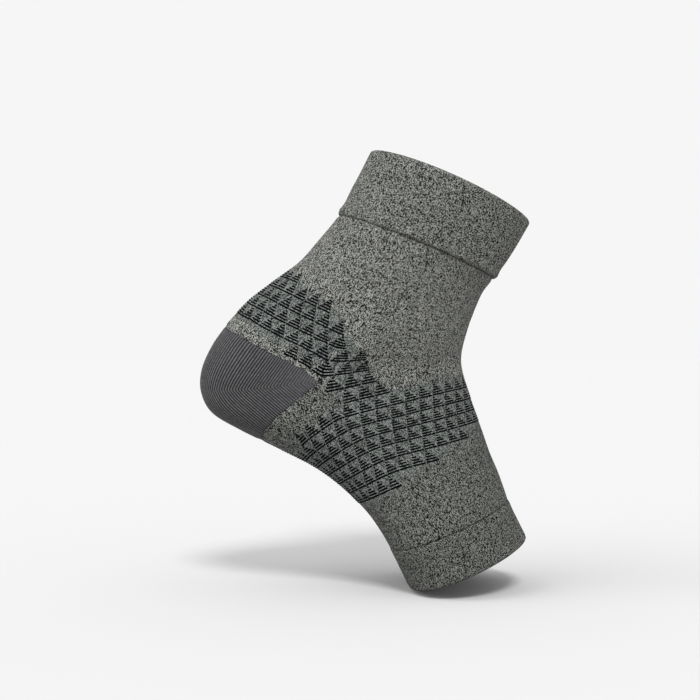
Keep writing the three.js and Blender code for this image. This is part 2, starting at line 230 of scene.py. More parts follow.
class SleeveSizes(bpy.types.PropertyGroup):
    """Sizes of the sleeve that a maker would change"""

    leg_rise: metres("Leg rise", "From the ankle's bend up to the top rim", 0.079)
    toe_drop: metres("Toe drop", "From the ankle's bend down to the toe rim", 0.123)
    heel_reach: metres("Heel reach", "From the ankle's bend back to the heel", 0.071)
    front_reach: metres("Front reach", "From the ankle's bend to the front of the cuffs", 0.080)
    leg_width: metres("Leg width", "Width across the leg at the cuff's seam", 0.067)
    heel_width: metres("Heel width", "Widest across the heel", 0.071)
    foot_width: metres("Foot width", "Width across the toe opening", 0.086)
    ankle_cuff_height: metres("Ankle cuff height", "Height of the turned cuff at its side", 0.032)
    foot_cuff_height: metres("Foot cuff height", "Height of the foot cuff at its side", 0.020)
    top_rim_sweep: metres("Top rim sweep", "How far the top rim rises at its sides", 0.001)
    toe_rim_sweep: metres("Toe rim sweep", "How far the toe rim drops at its sides", 0.0004)
    knit_wall: metres("Knit wall", "Thickness of the single knit", 0.0015)
    heel_wall: metres("Heel wall", "Thickness of the ribbed heel", 0.002)
    cuff_wall: metres("Cuff wall", "Thickness of a turned cuff", 0.0026)
    cuff_proud: metres("Cuff proud", "How far the ankle cuff stands out from the knit", 0.0008)
    foot_cuff_proud: metres("Foot cuff proud", "How far the foot cuff stands out from the knit", 0.0002)
    wales_round: count("Wales round", "Columns of stitches round the sleeve", 380)
    wales_in_triangle: count(
        "Wales in a triangle", "Columns of stitches from one triangle to the next", 10
    )
    leg_courses: count("Leg courses", "Rows of stitches from the ankle cuff to the pocket", 115)
    foot_courses: count("Foot courses", "Rows of stitches from the pocket to the foot cuff", 128)
    heel_ribs: count("Heel ribs", "Ribs round the heel pocket from tip to tip", 94)
    rib_height: metres("Rib height", "Depth of the grooves between heel ribs", 0.0003)
    bar_height: metres("Bar height", "How far a bar of the triangles stands out", 0.0002)


def yarn_colour(name, description, default):
    """A colour in the panel"""
    return bpy.props.FloatVectorProperty(
        name=name, description=description, default=default, size=3, subtype="COLOR", min=0, max=2
    )


class SleeveColours(bpy.types.PropertyGroup):
    """Colours of the yarns and the floor, and shades over the melange yarn; those of the foot and the foot
    cuff are painted shade
    """

    heather_dark: yarn_colour("Heather dark", "Darkest fibre of the melange yarn", (0.003, 0.0034, 0.003))
    heather_mid: yarn_colour("Heather middle", "Main fibre of the melange yarn", (0.069, 0.0723, 0.0666))
    heather_light: yarn_colour("Heather light", "Lightest fibre of the melange yarn", (0.45, 0.46, 0.427))
    cuff_shade: yarn_colour(
        "Cuff shade", "Shade of the ankle cuff over the melange yarn", (1.08, 1.09, 1.08)
    )
    band_shade: yarn_colour(
        "Band shade", "Shade of the band's ground over the melange yarn", (1.08, 1.13, 1.15)
    )
    # Painted shade: the foot cuff is made darker than the ankle cuff, as if lit from above
    foot_cuff_painted_shade: yarn_colour(
        "Foot cuff painted shade", "Shade of the foot cuff over the melange yarn", (0.76, 0.77, 0.76)
    )
    # Painted shade: the foot and the lower heel border are made darker than the leg, as if lit from above
    foot_painted_shade: yarn_colour("Foot painted shade", "Shade of the foot over the melange yarn", (0.69, 0.7, 0.69))
    heel_yarn: yarn_colour("Heel yarn", "Yarn of the ribbed heel", (0.083, 0.083, 0.087))
    band_yarn: yarn_colour("Band yarn", "Yarn of the triangles", (0.0016, 0.002, 0.0026))
    floor_white: yarn_colour("Floor", "Paint of the floor", (0.553, 0.553, 0.553))


def sizes():
    """Sizes set in the panel"""
    return bpy.context.scene.sleeve_sizes


def colours():
    """Colours set in the panel"""
    return bpy.context.scene.sleeve_colours


class SleeveForm:
    """The sleeve's outer surface, by place along it in sections and angle round from the back"""

    def __init__(self, size):
        self.size = size
        self.columns = {}
        for at, name in enumerate(SECTION_COLUMNS, start=1):
            self.columns[name] = np.array([row[at] for row in SECTIONS], float)
        # The seat is the origin, and until it is found nothing is shifted
        self.seat = np.zeros(3)
        self.seat = self.offset(SEAT_SECTION, 0.0, -size.heel_wall)
        self.ankle_seam = self.place_at_length(TOP_RIM, size.ankle_cuff_height, 1)
        self.foot_seam = self.place_at_length(TOE_RIM, size.foot_cuff_height, -1)
        self.rows = {}
        self.wales = {}
        for family in ("leg", "foot"):
            self.rows[family] = self.measure_rows(family)
            self.wales[family] = self.measure_wales(family)

    def value(self, column, place):
        """A section column at any place, on a smooth curve through the sections"""
        values = self.columns[column]
        place = np.asarray(place, float)
        first = np.clip(np.floor(place).astype(int), 0, TOE_RIM - 1)
        start, end = values[first], values[first + 1]
        before = np.where(first > 0, values[np.maximum(first - 1, 0)], 2 * start - end)
        after = np.where(first + 2 <= TOE_RIM, values[np.minimum(first + 2, TOE_RIM)], 2 * end - start)
        slope = (end - before) / 2
        next_slope = (after - start) / 2
        rise = start - end
        t = place - first
        curve = (2 * rise + slope + next_slope) * t - 3 * rise - 2 * slope - next_slope
        return curve * t * t + slope * t + start

    def point(self, place, angle):
        """Points of the outer surface"""
        size = self.size
        place, angle = np.broadcast_arrays(np.asarray(place, float), np.asarray(angle, float))
        share = depth_share(angle) ** (np.log(self.value("widest", place)) / math.log(0.5))
        reaches = {"x": (size.heel_reach, size.front_reach), "z": (size.toe_drop, size.leg_rise)}
        side = []
        for axis, (back_reach, front_reach) in reaches.items():
            back = self.value("back_" + axis, place)
            front = self.value("front_" + axis, place)
            back = np.where(back < 0, back * back_reach, back * front_reach)
            front = np.where(front < 0, front * back_reach, front * front_reach)
            side.append(back + (front - back) * share)
        width = (self.value("leg", place) * size.leg_width + self.value("heel", place) * size.heel_width
                 + self.value("foot", place) * size.foot_width)
        across = width / 2 * np.sin(np.radians(angle))
        return np.stack([side[0], across, side[1]], axis=-1) - self.seat

    def offset(self, place, angle, distance):
        """Points moved straight out from the outer surface"""
        place, angle = np.asarray(place, float), np.asarray(angle, float)
        along = self.point(place + PLACE_STEP, angle) - self.point(place - PLACE_STEP, angle)
        around = self.point(place, angle + ANGLE_STEP) - self.point(place, angle - ANGLE_STEP)
        outward = np.cross(around, along)
        outward /= np.linalg.norm(outward, axis=-1, keepdims=True)
        return self.point(place, angle) + outward * np.asarray(distance)[..., None]

    def place_at_length(self, start, length, direction):
        """The place that lies a length along the side from a starting place"""
        steps = start + direction * np.linspace(0, FARTHEST_SEAM, 1201)
        points = self.point(steps, np.full(steps.shape, HALF_TURN / 2))
        travelled = np.concatenate([[0], np.cumsum(np.linalg.norm(np.diff(points, axis=0), axis=1))])
        return float(np.interp(length, travelled, steps))

    def pocket_edge(self, edge, angle, front=FRONT_SECTION):
        """Place of a pocket edge, and past its tip of the line where leg and foot rows meet"""
        turn = np.abs(angle)
        on_edge = np.interp(turn, POCKET_ANGLES, POCKET_TOP if edge == "top" else POCKET_BOTTOM)
        past = (depth_share(turn) - depth_share(TIP_ANGLE)) / (1 - depth_share(TIP_ANGLE))
        join = TIP_SECTION + (front - TIP_SECTION) * np.clip(past, 0, 1) ** JOIN_BEND
        return np.where(turn < TIP_ANGLE, on_edge, join)

    def row_place(self, row, angle, family):
        """Place of a knit row at an angle, on the leg's side or the foot's side of the pocket"""
        if family == "leg":
            return self.ankle_seam + (self.pocket_edge("top", angle) - self.ankle_seam) * row
        bottom = self.pocket_edge("bottom", angle)
        return bottom + (self.foot_seam - bottom) * (np.asarray(row) - 1)

    def measure_rows(self, family):
        """Places of evenly spaced rows of stitches at each angle, from a cuff's seam to the pocket.

        Next to the pocket the rows follow its edge, and further away they forget its sharp tip.
        """
        if family == "leg":
            seam, direction, edge = self.ankle_seam, 1, "top"
        else:
            seam, direction, edge = self.foot_seam, -1, "bottom"
        steps = seam + direction * np.linspace(0, FARTHEST_POCKET, 221)
        angles = np.arange(HALF_TURN + 1)
        points = self.point(steps[:, None], angles[None, :])
        travelled = np.cumsum(np.linalg.norm(np.diff(points, axis=0, prepend=points[:1]), axis=2), axis=0)
        edges = np.abs(self.pocket_edge(edge, angles, FRONT_ROW_SECTION) - seam)
        sharp = np.array([np.interp(edges[at], np.abs(steps - seam), travelled[:, at]) for at in angles])
        window = np.hanning(TIP_SMOOTHING)
        mirrored = np.concatenate([sharp[:0:-1], sharp, sharp[-2::-1]])
        smooth = np.convolve(mirrored, window / window.sum(), mode="same")[HALF_TURN:2 * HALF_TURN + 1]
        near = np.linspace(0, 1, ROW_STEPS)[:, None]
        lengths = near * (smooth + (sharp - smooth) * near ** TIP_FOLLOWING)
        places = np.array([np.interp(lengths[:, at], travelled[:, at], steps) for at in angles]).T
        return places if family == "leg" else places[::-1]

    def measure_wales(self, family):
        """Columns of stitches at each row and angle, running square to the rows from the ankle cuff down"""
        places = self.rows[family]
        angles = np.arange(HALF_TURN + 1)
        points = self.point(places, angles[None, :])
        around = np.cumsum(np.linalg.norm(np.diff(points, axis=1, prepend=points[:, :1]), axis=2), axis=1)
        half = self.size.wales_round / 2
        if family == "leg":
            start = half * around[0] / around[0, -1]
        else:
            above = self.wales["leg"][-1]
            on_edge = above[TIP_ANGLE] * around[0] / around[0, TIP_ANGLE]
            start = np.where(angles < TIP_ANGLE, on_edge, above)
        wales = [start]
        for row in range(1, ROW_STEPS):
            tangents = np.gradient(points[row], axis=0)
            tangents /= np.linalg.norm(tangents, axis=1, keepdims=True)
            shift = np.sum((points[row - 1] - points[row]) * tangents, axis=1)
            shift[[0, -1]] = 0
            square = np.interp(around[row - 1] - shift, around[row - 1], wales[-1])
            even = half * around[row] / around[row, -1]
            wales.append(np.maximum.accumulate(square + (even - square) * WALE_EVENING))
        return np.array(wales)

    def look_up(self, table, row, angle):
        """A value from a table of rows and angles, on straight lines between its entries"""
        down = np.clip(row * (ROW_STEPS - 1), 0, ROW_STEPS - 1.001)
        turn = np.clip(np.abs(angle), 0, HALF_TURN - 0.001)
        i, j = down.astype(int), turn.astype(int)
        a, b = down - i, turn - j
        return ((1 - a) * (1 - b) * table[i, j] + a * (1 - b) * table[i + 1, j]
                + (1 - a) * b * table[i, j + 1] + a * b * table[i + 1, j + 1])

    def stitches(self, place, angle):
        """Column and row of stitches at places and angles, from the back and from the ankle cuff.

        Rows are found by halving, and the halves close in on each place.
        """
        size = self.size
        on_leg = place <= self.pocket_edge("top", angle, FRONT_ROW_SECTION) + 1e-6
        columns, rows = np.zeros(place.shape), np.zeros(place.shape)
        for family, here in (("leg", on_leg), ("foot", ~on_leg)):
            low, high = np.zeros(place.shape), np.ones(place.shape)
            for _ in range(HALVINGS):
                middle = (low + high) / 2
                short = self.look_up(self.rows[family], middle, angle) < place
                low, high = np.where(short, middle, low), np.where(short, high, middle)
            columns = np.where(here, self.look_up(self.wales[family], middle, angle), columns)
            if family == "leg":
                row = middle * size.leg_courses
            else:
                row = size.leg_courses + middle * size.foot_courses
            rows = np.where(here, row, rows)
        return np.where(angle < 0, -columns, columns), rows

    def stitch_point(self, course, wales, height):
        """Points over one row of stitches at some columns, at a height over the knit"""
        size = self.size
        if course <= size.leg_courses:
            family, share = "leg", course / size.leg_courses
        else:
            family, share = "foot", (course - size.leg_courses) / size.foot_courses
        at = share * (ROW_STEPS - 1)
        first = min(int(at), ROW_STEPS - 2)
        mix = at - first
        wales_on_row = self.wales[family][first] * (1 - mix) + self.wales[family][first + 1] * mix
        places_on_row = self.rows[family][first] * (1 - mix) + self.rows[family][first + 1] * mix
        angles = np.arange(HALF_TURN + 1)
        turn = np.interp(np.abs(wales), wales_on_row, angles)
        place = np.interp(turn, angles, places_on_row)
        turn = np.sign(wales) * turn
        return self.offset(place, turn, np.full(turn.shape, height)), place, turn


def depth_share(angle):
    """How far from back to front an angle lies"""
    return (1 - np.cos(np.radians(angle))) / 2


def edge_row(table, angle):
    """Row of an edge of the band at an angle"""
    return np.interp(np.abs(angle), table[0], table[1])


def level_row(row, angle):
    """Row of an edge that stays level all the way round"""
    return row + 0 * angle


def band_upper(angle):
    """Upper edge of the band: of its arm, and past the fork of its ring"""
    return np.where(np.abs(angle) < FORK_ANGLE, edge_row(ARM_UPPER, angle), ARCH_TOP_ROW)


def wedge_upper(angle):
    """Upper edge of the wedge under the pocket, which drops past the pocket's tip"""
    past = np.clip((np.abs(angle) - TIP_ANGLE) / (WEDGE_ANGLE - TIP_ANGLE), 0, 1)
    return 1 + (ARM_SPLIT_ROW - 1) * past


def border_upper(angle):
    """Upper edge of the wedge as it is built, all of it on the foot's side"""
    return np.maximum(wedge_upper(angle), FIRST_FOOT_ROW)


def arm_lower(turn):
    """Lower edge of the band's arm, along the border, the wedge and the ring"""
    past = np.abs(turn) > TIP_ANGLE
    return np.where(past, np.where(np.abs(turn) < WEDGE_ANGLE, wedge_upper(turn), ARM_SPLIT_ROW),
                    edge_row(ARM_LOWER, turn))


def arch_upper(turn):
    """Upper edge of the band's ring, along the wedge, the arm and the ankle's knit"""
    turn = np.abs(turn)
    return np.where(turn < WEDGE_ANGLE, edge_row(ARCH_BACK, turn),
                    np.where(turn < FORK_ANGLE, ARM_SPLIT_ROW, ARCH_TOP_ROW))


def wrap_vertices(mesh, points, stitches):
    """Moves a flat mesh onto the sleeve and keeps its stitches as UVs"""
    layer = mesh.loops.layers.uv.new(UV_NAME)
    for vertex, point, stitch in zip(mesh.verts, points.tolist(), stitches.tolist()):
        vertex.co = point
        for loop in vertex.link_loops:
            loop[layer].uv = stitch


def add_piece(name, mesh):
    """Puts a finished mesh into the scene"""
    data = bpy.data.meshes.new(name)
    mesh.to_mesh(data)
    mesh.free()
    data.shade_smooth()
    piece = bpy.data.objects.new(name, data)
    bpy.context.scene.collection.objects.link(piece)
    return piece


def build_grid(name, columns, rows, place_vertices, weld=False):
    """A grid of columns and rows laid onto the sleeve.

    place_vertices takes shares across and down, from 0 to 1, and gives points and stitches.
    """
    mesh = bmesh.new()
    bmesh.ops.create_grid(mesh, x_segments=columns, y_segments=rows, size=0.5)
    flat = np.array([vertex.co[:2] for vertex in mesh.verts])
    points, stitches = place_vertices(flat[:, 0] + 0.5, 0.5 - flat[:, 1])
    wrap_vertices(mesh, points, stitches)
    if weld:
        bmesh.ops.remove_doubles(mesh, verts=mesh.verts, dist=1e-6)
    bmesh.ops.reverse_faces(mesh, faces=mesh.faces)
    return add_piece(name, mesh)


def thicken(piece, wall):
    """Gives the knit its thickness on the inside"""
    solid = piece.modifiers.new("Wall", "SOLIDIFY")
    solid.thickness = wall
    solid.offset = -1


def finish_piece(piece, material, node=None):
    """Gives a piece its finish and place on the body, and hides the node it replaces"""
    piece.data.materials.append(material)
    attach(piece, "root")
    if node:
        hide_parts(node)


def seam_pinch(distance_rows, depth):
    """How far the knit dips beside a seam, by its distance from the seam in rows of stitches"""
    return -depth * np.exp(-(distance_rows / SEAM_DIP_ROWS) ** 2)


def knit_patch(form, name, upper, lower, limit, columns, rows, pinch_upper=0.0, pinch_lower=0.0):
    """A wall of knit between two row edges, up to an angle on each side or all the way round.

    pinch_upper and pinch_lower are how deep it dips beside a seam at that edge.
    """

    def place_vertices(across, down):
        turn = (across * 2 - 1) * limit
        row = upper(turn) + (lower(turn) - upper(turn)) * down
        on_leg = row <= 1
        place = np.where(on_leg, form.row_place(row, turn, "leg"), form.row_place(row, turn, "foot"))
        out = seam_pinch((row - upper(turn)) * ROWS_IN_KNIT, pinch_upper)
        out += seam_pinch((lower(turn) - row) * ROWS_IN_KNIT, pinch_lower)
        wales, courses = form.stitches(place, turn)
        return form.offset(place, turn, out), np.stack([wales, -courses], axis=-1)

    return build_grid(name, columns, rows, place_vertices, weld=limit >= HALF_TURN)


def cuff_profile(height, wall, proud, lower_roll):
    """Places down a cuff and depths out from the sleeve: outside, lower fold, inside, upper fold"""
    radius = wall / 2
    straight = np.linspace(radius, height - radius, SIDE_STEPS)
    from_edge = (straight - height) / radius
    roll = lower_roll * np.exp(-((from_edge + ROLL_HEIGHT) / ROLL_WIDTH) ** 2)
    crease = CREASE_SHARE * lower_roll * np.exp(-((from_edge + CREASE_HEIGHT) / CREASE_WIDTH) ** 2)
    bend = np.linspace(0, math.pi, FOLD_STEPS)[1:-1]
    ahead, out = radius * np.sin(bend), radius * np.cos(bend)
    profile = [
        *zip(straight, proud + roll - crease),
        *zip(height - radius + ahead, proud - radius + out),
        *((at, proud - wall) for at in straight[::-INSIDE_STRIDE]),
        *zip(radius - ahead, proud - radius - out),
    ]
    return np.array([*profile, profile[0]])


def cuff_ring(form, name, upper, lower, proud, lower_roll):
    """A turned cuff: its knit goes down the outside, round the fold and up the inside"""
    size = form.size
    side = np.array([HALF_TURN / 2.0])
    height = float(np.linalg.norm(form.point(upper(side), side) - form.point(lower(side), side)))
    profile = cuff_profile(height, size.cuff_wall, proud, lower_roll)
    steps = np.hypot(*np.diff(profile, axis=0).T)
    travelled = np.concatenate([[0], np.cumsum(steps)]) / CUFF_STITCH_HEIGHT

    def place_vertices(across, down):
        turn = (across * 2 - 1) * HALF_TURN
        at = np.rint(down * (len(profile) - 1)).astype(int)
        place = upper(turn) + (lower(turn) - upper(turn)) * profile[at, 0] / height
        wales = np.sign(turn) * form.look_up(form.wales["leg"], 0 * turn, turn)
        return form.offset(place, turn, profile[at, 1]), np.stack([wales, -travelled[at]], axis=-1)

    return build_grid(name, CUFF_COLUMNS, len(profile) - 1, place_vertices, weld=True)


def rim_place(form, rim, sweep, direction):
    """Place of a rim that stands a little further out at its sides"""
    side = HALF_TURN / 2.0
    inner = rim - RIM_STEP * direction
    step = float(np.linalg.norm(form.point(rim, side) - form.point(inner, side)))
    return lambda angle: rim + sweep * np.sin(np.radians(angle)) ** 2 * RIM_STEP * direction / step


def length_shares(points):
    """How far along a line of points each one lies, from 0 to 1"""
    steps = np.linalg.norm(np.diff(points, axis=0), axis=1)
    along = np.concatenate([[0], np.cumsum(steps)])
    return along / along[-1]


def rib_angles(form, share, ribs):
    """Angles at which the ribs cross the pocket a share of the way down it.

    On its sides they run straight, at one slope above the gore line and another below it, and behind
    the heel they run from its top edge to its bottom one.
    """
    angles = np.linspace(0, TIP_ANGLE, RIB_STEPS)
    slope = math.radians(UPPER_RIB_SLOPE if share <= 0.5 else LOWER_RIB_SLOPE)
    square = np.array([math.sin(slope), 0, -math.cos(slope)]) * math.copysign(1, slope)
    gore = pocket_points(form, 0.5, angles)
    points = pocket_points(form, share, angles)
    straight = np.interp(points @ square, gore @ square, length_shares(gore))
    middle_angles = (angles[1:] + angles[:-1]) / 2
    on_side = np.clip((middle_angles - RIBS_TURN_FROM) / (RIBS_TURN_TO - RIBS_TURN_FROM), 0, 1)
    side_steps = np.diff(straight) * on_side
    back_steps = np.diff(length_shares(points)) * (1 - on_side)
    steps = side_steps + back_steps * (1 - side_steps.sum()) / back_steps.sum()
    return np.interp(ribs, np.concatenate([[0], np.cumsum(steps)]), angles)


def pocket_points(form, share, angles):
    """Points of the pocket a share of the way down it"""
    top, bottom = form.pocket_edge("top", angles), form.pocket_edge("bottom", angles)
    return form.point(top + (bottom - top) * share, angles)


def heel_grid(form, name, columns, rows):
    """The heel pocket, its columns laid along the ribs, which bend at the gore line.

    The grid runs down the ribbed outside, up the plain inside and back to where it began.
    """
    size = form.size
    ribs = np.linspace(0, 1, columns // 2 + 1)
    shares = np.concatenate([np.linspace(0, 1, rows + 1), np.linspace(1, 0, rows // 4 + 1), [0]])
    depths = np.concatenate([np.zeros(rows + 1), np.ones(rows // 4 + 1), [0]])
    rib_turns = np.array([rib_angles(form, share, ribs) for share in shares])

    def place_vertices(across, down):
        rib = across * 2 - 1
        row = np.rint(down * (len(shares) - 1)).astype(int)
        column = np.rint(np.abs(rib) * (columns // 2)).astype(int)
        turn = np.sign(rib) * rib_turns[row, column]
        top, bottom = form.pocket_edge("top", turn), form.pocket_edge("bottom", turn)
        share = shares[row]
        place = top + (bottom - top) * share
        ribs_from_back = rib * size.heel_ribs / 2
        groove = 0.5 - 0.5 * np.cos(2 * math.pi * ribs_from_back)
        edge = np.minimum(share, 1 - share) * (bottom - top)
        relief = -size.rib_height * groove - POCKET_EDGE_DIP * np.exp(-(edge / POCKET_EDGE_WIDTH) ** 2)
        out = np.where(depths[row] > 0, -size.heel_wall, relief)
        depth = share * POCKET_COURSES * (bottom - top) / (POCKET_BOTTOM[0] - POCKET_TOP[0])
        return form.offset(place, turn, out), np.stack([ribs_from_back, -depth], axis=-1)

    return build_grid(name, columns, len(shares) - 1, place_vertices, weld=True)


def triangle_inside(form, course, wale, upper, lower, limit, off_lower):
    """Whether the middle of a triangle lies between two edges of the band"""
    _, place, turn = form.stitch_point(course + COURSES_IN_TRIANGLE / 2, np.array([wale]), 0.0)
    edges = []
    for edge in (upper, lower):
        row = edge(turn)
        edges.append(form.row_place(row, turn, "leg" if row[0] <= 1 else "foot")[0])
    return edges[0] - PAST_UPPER_EDGE < place[0] < edges[1] - off_lower and abs(turn[0]) < limit


def triangle_bars(form, name, inside):
    """Bars of the triangles, laid out flat in stitches and then wrapped onto the sleeve.

    inside takes a triangle's top course and its middle wale, and says whether it is knit.
    """
    size = form.size
    half_count = size.wales_round // (2 * size.wales_in_triangle)
    mesh = bmesh.new()
    for triangle_row in range(TRIANGLE_ROWS):
        top_course = FIRST_TRIANGLE_COURSE + COURSES_IN_TRIANGLE * triangle_row
        shift = 0.5 * (triangle_row % 2)
        for at in range(-half_count, half_count):
            wale = (at + shift) * size.wales_in_triangle
            if not inside(top_course, wale):
                continue
            for bar, length in enumerate(BAR_LENGTHS):
                place = Matrix.Translation((wale, top_course + COURSES_TO_BAR * (bar + 0.5), 0))
                scale = Matrix.Diagonal((length, BAR_COURSES, 1, 1))
                bmesh.ops.create_grid(mesh, x_segments=max(2, round(length)), y_segments=3, size=0.5,
                                      matrix=place @ scale)
    flat = np.array([vertex.co[:2] for vertex in mesh.verts])
    points = np.zeros((len(flat), 3))
    for course in np.unique(np.round(flat[:, 1], 4)):
        on_course = np.abs(flat[:, 1] - course) < 1e-3
        from_bar = (course - FIRST_TRIANGLE_COURSE) % COURSES_TO_BAR - COURSES_TO_BAR / 2
        in_middle = abs(from_bar) < BAR_MIDDLE * BAR_COURSES
        height = size.bar_height if in_middle else -BAR_SINK
        points[on_course] = form.stitch_point(course, flat[on_course, 0], height)[0]
    wrap_vertices(mesh, points, flat * (1, -1))
    return add_piece(name, mesh)


def link_value(tree, value, socket):
    """Feeds a socket from another one, or sets it to a number"""
    if isinstance(value, bpy.types.NodeSocket):
        tree.links.new(value, socket)
    else:
        socket.default_value = value


def calculate(tree, operation, *values):
    """Result of one step of mathematics"""
    node = tree.nodes.new("ShaderNodeMath")
    node.operation = operation
    for value, socket in zip(values, node.inputs):
        link_value(tree, value, socket)
    return node.outputs[0]


def combine(tree, *values):
    """A vector made of up to three values"""
    node = tree.nodes.new("ShaderNodeCombineXYZ")
    for value, socket in zip(values, node.inputs):
        link_value(tree, value, socket)
    return node.outputs[0]


def stitch_axes(tree):
    """Columns and rows of stitches at each point of the knit"""
    uv = tree.nodes.new("ShaderNodeUVMap")
    uv.uv_map = UV_NAME
    split = tree.nodes.new("ShaderNodeSeparateXYZ")
    tree.links.new(uv.outputs["UV"], split.inputs[0])
    return split.outputs["X"], split.outputs["Y"]


def bulge(tree, across):
    """Height of a round yarn from its share across, from 0 to 1"""
    rest = calculate(tree, "SUBTRACT", 1.0, across)
    return calculate(tree, "MULTIPLY", calculate(tree, "MULTIPLY", across, rest), 4.0)


def random_by_cell(tree, *cells):
    """A value that differs from one cell to the next. The last number keeps different uses apart."""
    node = tree.nodes.new("ShaderNodeTexWhiteNoise")
    node.noise_dimensions = "3D"
    tree.links.new(combine(tree, *cells), node.inputs["Vector"])
    return node.outputs["Value"]


def colour_steps(tree, value, stops):
    """Colour that goes with a value, between stops of position and colour"""
    ramp = tree.nodes.new("ShaderNodeValToRGB")
    elements = ramp.color_ramp.elements
    while len(elements) < len(stops):
        elements.new(0.5)
    for element, (position, colour) in zip(elements, stops):
        element.position = position
        element.color = (*colour, 1)
    tree.links.new(value, ramp.inputs["Fac"])
    return ramp.outputs["Color"]


def shade_grooves(tree, colour, height, depth):
    """Paints shade into the grooves between yarns: darkens the colour where the height is low"""
    shade = tree.nodes.new("ShaderNodeMapRange")
    tree.links.new(height, shade.inputs["Value"])
    shade.inputs["To Min"].default_value = 1 - depth
    product = tree.nodes.new("ShaderNodeVectorMath")
    product.operation = "SCALE"
    tree.links.new(colour, product.inputs[0])
    tree.links.new(shade.outputs["Result"], product.inputs["Scale"])
    return product.outputs["Vector"]


def cloth_surface(name, roughness, shine):
    """A new material with its node tree and shader"""
    material = bpy.data.materials.new(name)
    material.use_nodes = True
    tree = material.node_tree
    shader = tree.nodes["Principled BSDF"]
    shader.inputs["Roughness"].default_value = roughness
    shader.inputs["Specular IOR Level"].default_value = shine
    return material, tree, shader


def add_bump(tree, shader, height, depth):
    """Lets a height from 0 to 1 shade the surface as relief of a depth"""
    bump = tree.nodes.new("ShaderNodeBump")
    bump.inputs["Strength"].default_value = 1.0
    bump.inputs["Distance"].default_value = depth
    tree.links.new(height, bump.inputs["Height"])
    tree.links.new(bump.outputs["Normal"], shader.inputs["Normal"])


def tint(colour, shade):
    """A colour multiplied by a shade"""
    return tuple(part * by for part, by in zip(colour, shade))


def heather_material(name, shade, slant, groove, contrast=1.0):
    """Melange knit: two legs of yarn to a stitch, each of its own fibre colour"""
    yarns = colours()
    material, tree, shader = cloth_surface(name, roughness=0.92, shine=0.06)
    wale, course = stitch_axes(tree)
    across = calculate(tree, "FRACT", wale)
    from_middle = calculate(tree, "ABSOLUTE", calculate(tree, "SUBTRACT", across, 0.5))
    climb = calculate(tree, "MULTIPLY", from_middle, slant)
    along = calculate(tree, "SUBTRACT", course, climb)
    leg = calculate(tree, "FLOOR", calculate(tree, "MULTIPLY", wale, 2.0))
    column = calculate(tree, "FLOOR", wale)
    row = calculate(tree, "FLOOR", along)
    leg_height = bulge(tree, calculate(tree, "FRACT", along))
    across_leg = bulge(tree, calculate(tree, "MULTIPLY", from_middle, 2.0))
    side_height = calculate(tree, "POWER", across_leg, groove)
    height = calculate(tree, "MULTIPLY", calculate(tree, "POWER", leg_height, 0.5), side_height)
    half_row = calculate(tree, "FLOOR", calculate(tree, "MULTIPLY", along, 2.0))
    by_leg = random_by_cell(tree, leg, half_row, 3.0)
    by_stitch = random_by_cell(tree, column, row, 7.0)
    streak = tree.nodes.new("ShaderNodeTexNoise")
    streak.noise_dimensions = "2D"
    streak.inputs["Scale"].default_value = 1.0
    streak.inputs["Detail"].default_value = 1.0
    stretched = combine(tree, calculate(tree, "MULTIPLY", wale, STREAK_STRETCH), row)
    tree.links.new(stretched, streak.inputs["Vector"])
    fibre = calculate(tree, "ADD", calculate(tree, "MULTIPLY", by_leg, LEG_SHARE),
                      calculate(tree, "MULTIPLY", by_stitch, STITCH_SHARE))
    fibre = calculate(tree, "ADD", fibre, calculate(tree, "MULTIPLY", streak.outputs["Fac"], STREAK_SHARE))
    middle = yarns.heather_mid
    dark = [near + (far - near) * contrast for near, far in zip(middle, yarns.heather_dark)]
    light = [near + (far - near) * contrast for near, far in zip(middle, yarns.heather_light)]
    shaded = [tint(colour, shade) for colour in (dark, middle, middle, light)]
    fibres = colour_steps(tree, fibre, list(zip(FIBRE_STOPS, shaded)))
    # Painted shade in the grooves between the legs of yarn
    colour = shade_grooves(tree, fibres, height, depth=0.8)
    tree.links.new(colour, shader.inputs["Base Color"])
    add_bump(tree, shader, height, KNIT_BUMP)
    return material


def heel_material(name):
    """Ribbed heel: smooth dark yarn, with painted shade as a dark line in each groove, which fades towards
    the tips
    """
    material, tree, shader = cloth_surface(name, roughness=0.72, shine=0.2)
    rib, depth = stitch_axes(tree)
    along = calculate(tree, "MULTIPLY", depth, STITCHES_ON_RIB)
    height = bulge(tree, calculate(tree, "FRACT", calculate(tree, "ADD", rib, 0.5)))
    stitch = bulge(tree, calculate(tree, "FRACT", along))
    half_rib = calculate(tree, "FLOOR", calculate(tree, "MULTIPLY", rib, 2.0))
    cell = random_by_cell(tree, half_rib, calculate(tree, "FLOOR", along), 5.0)
    yarn = colours().heel_yarn
    stops = (
        (0.0, tint(yarn, (0.78, 0.78, 0.79))),
        (0.5, tuple(yarn)),
        (1.0, tint(yarn, (1.3, 1.3, 1.29))),
    )
    # Painted shade in the grooves between ribs, weaker towards the tips of the pocket
    to_tip = tree.nodes.new("ShaderNodeMapRange")
    tree.links.new(calculate(tree, "ABSOLUTE", rib), to_tip.inputs["Value"])
    to_tip.inputs["From Min"].default_value = GROOVE_FADES_FROM * sizes().heel_ribs
    to_tip.inputs["From Max"].default_value = GROOVE_FADES_TO * sizes().heel_ribs
    to_tip.inputs["To Max"].default_value = FADED_GROOVE
    line = calculate(tree, "POWER", height, GROOVE_SHARPNESS)
    groove = calculate(tree, "MAXIMUM", line, to_tip.outputs["Result"])
    colour = shade_grooves(tree, colour_steps(tree, cell, stops), groove, depth=1.0)
    tree.links.new(colour, shader.inputs["Base Color"])
    relief = calculate(tree, "ADD", calculate(tree, "MULTIPLY", height, 0.7),
                       calculate(tree, "MULTIPLY", stitch, 0.3))
    add_bump(tree, shader, relief, RIB_BUMP)
    return material


